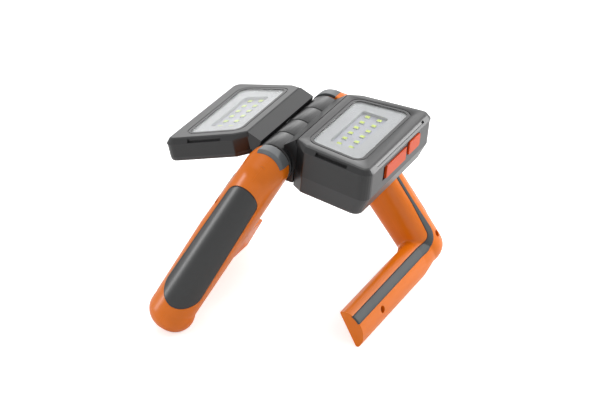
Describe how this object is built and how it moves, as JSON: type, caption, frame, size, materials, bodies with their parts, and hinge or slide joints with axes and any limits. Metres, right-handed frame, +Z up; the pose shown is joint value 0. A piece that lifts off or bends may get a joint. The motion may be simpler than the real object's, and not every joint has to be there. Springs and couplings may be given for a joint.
{
  "type": "work light",
  "caption": "Rechargeable folding work light: two hinged LED lamp heads on a pair of orange legs that stand as a trestle or close into a carrying loop.",
  "frame": {"origin": "on the ground, under the middle of the whole light as it stands", "axes": "+Z up; +Y along the hinge axle, away from the front leg's head; +X towards the thicker lamp, which holds the battery"},
  "size_m": [0.1758, 0.2158, 0.1631],
  "materials": {
    "housing_plastic": "fine moulded grain, dark grey",
    "bezel_plastic": "satin dark grey",
    "cover_plastic": "fine moulded grain, dark grey",
    "clear_lens": "clear, glossy",
    "reflector_plastic": "satin pale grey",
    "led_board": "white solder mask",
    "led": "pale yellow-green phosphor",
    "screw_steel": "zinc-plated",
    "cell_wrap": "shrink sleeve",
    "circuit_board": "solder mask",
    "socket_steel": "stamped",
    "switch_plastic": "moulded",
    "signal_rubber": "soft matt red-orange",
    "axle_steel": "turned",
    "washer_rubber": "matt",
    "orange_plastic": "satin orange",
    "hub_plastic": "moulded",
    "grip_rubber": "smooth matt",
    "strip_rubber": "smooth matt",
    "cap_plastic": "satin grey"
  },
  "bodies": {
    "right_lamp": {"right_housing": "housing_plastic", "right_bezel": "bezel_plastic", "right_lens": "clear_lens", "right_reflector": "reflector_plastic", "right_led_board": "led_board", "right_leds": "led", "right_back_cover": "cover_plastic", "right_cover_screws": "screw_steel", "battery_cell": "cell_wrap", "control_board": "circuit_board", "charge_socket": "socket_steel", "power_switch": "switch_plastic", "hinge_axle": "axle_steel", "hinge_nuts": "axle_steel", "friction_washers": "washer_rubber"},
    "left_lamp": {"left_housing": "housing_plastic", "left_bezel": "bezel_plastic", "left_lens": "clear_lens", "left_reflector": "reflector_plastic", "left_led_board": "led_board", "left_leds": "led", "left_back_cover": "cover_plastic", "left_cover_screws": "screw_steel"},
    "front_leg": {"front_leg_shell": "orange_plastic", "front_leg_cover": "orange_plastic", "front_hub": "hub_plastic", "front_grip": "grip_rubber", "front_strip": "strip_rubber", "front_collar_cap": "cap_plastic", "front_leg_screws": "screw_steel"},
    "rear_leg": {"rear_leg_shell": "orange_plastic", "rear_leg_cover": "orange_plastic", "rear_hub": "hub_plastic", "rear_grip": "grip_rubber", "rear_strip": "strip_rubber", "rear_collar_cap": "cap_plastic", "rear_leg_screws": "screw_steel"},
    "power_button": {"power_button": "signal_rubber"},
    "charge_flap": {"charge_flap": "signal_rubber"}
  },
  "joints": [
    {"name": "left_lamp_fold", "type": "hinge", "parent": "right_lamp", "child": "left_lamp", "pos_m": [0.00097, 0, 0.13963], "axis": [0, -1, 0], "range_deg": [-45, 115]},
    {"name": "rear_leg_swing", "type": "hinge", "parent": "right_lamp", "child": "rear_leg", "pos_m": [0.00097, 0, 0.13963], "axis": [0, -1, 0], "range_deg": [-28, 90]},
    {"name": "front_leg_swing", "type": "hinge", "parent": "right_lamp", "child": "front_leg", "pos_m": [0.00097, 0, 0.13963], "axis": [0, 1, 0], "range_deg": [-28, 90]},
    {"name": "power_press", "type": "slide", "parent": "right_lamp", "child": "power_button", "axis": [-0.9954, 0, 0.0958], "range_m": [0, 0.001], "stiffness_N_per_m": 1000, "springref_m": -0.002},
    {"name": "flap_open", "type": "hinge", "parent": "right_lamp", "child": "charge_flap", "pos_m": [0.08501, 0.0082, 0.14339], "axis": [0.0958, 0, 0.9954], "range_deg": [0, 80]}
  ]
}
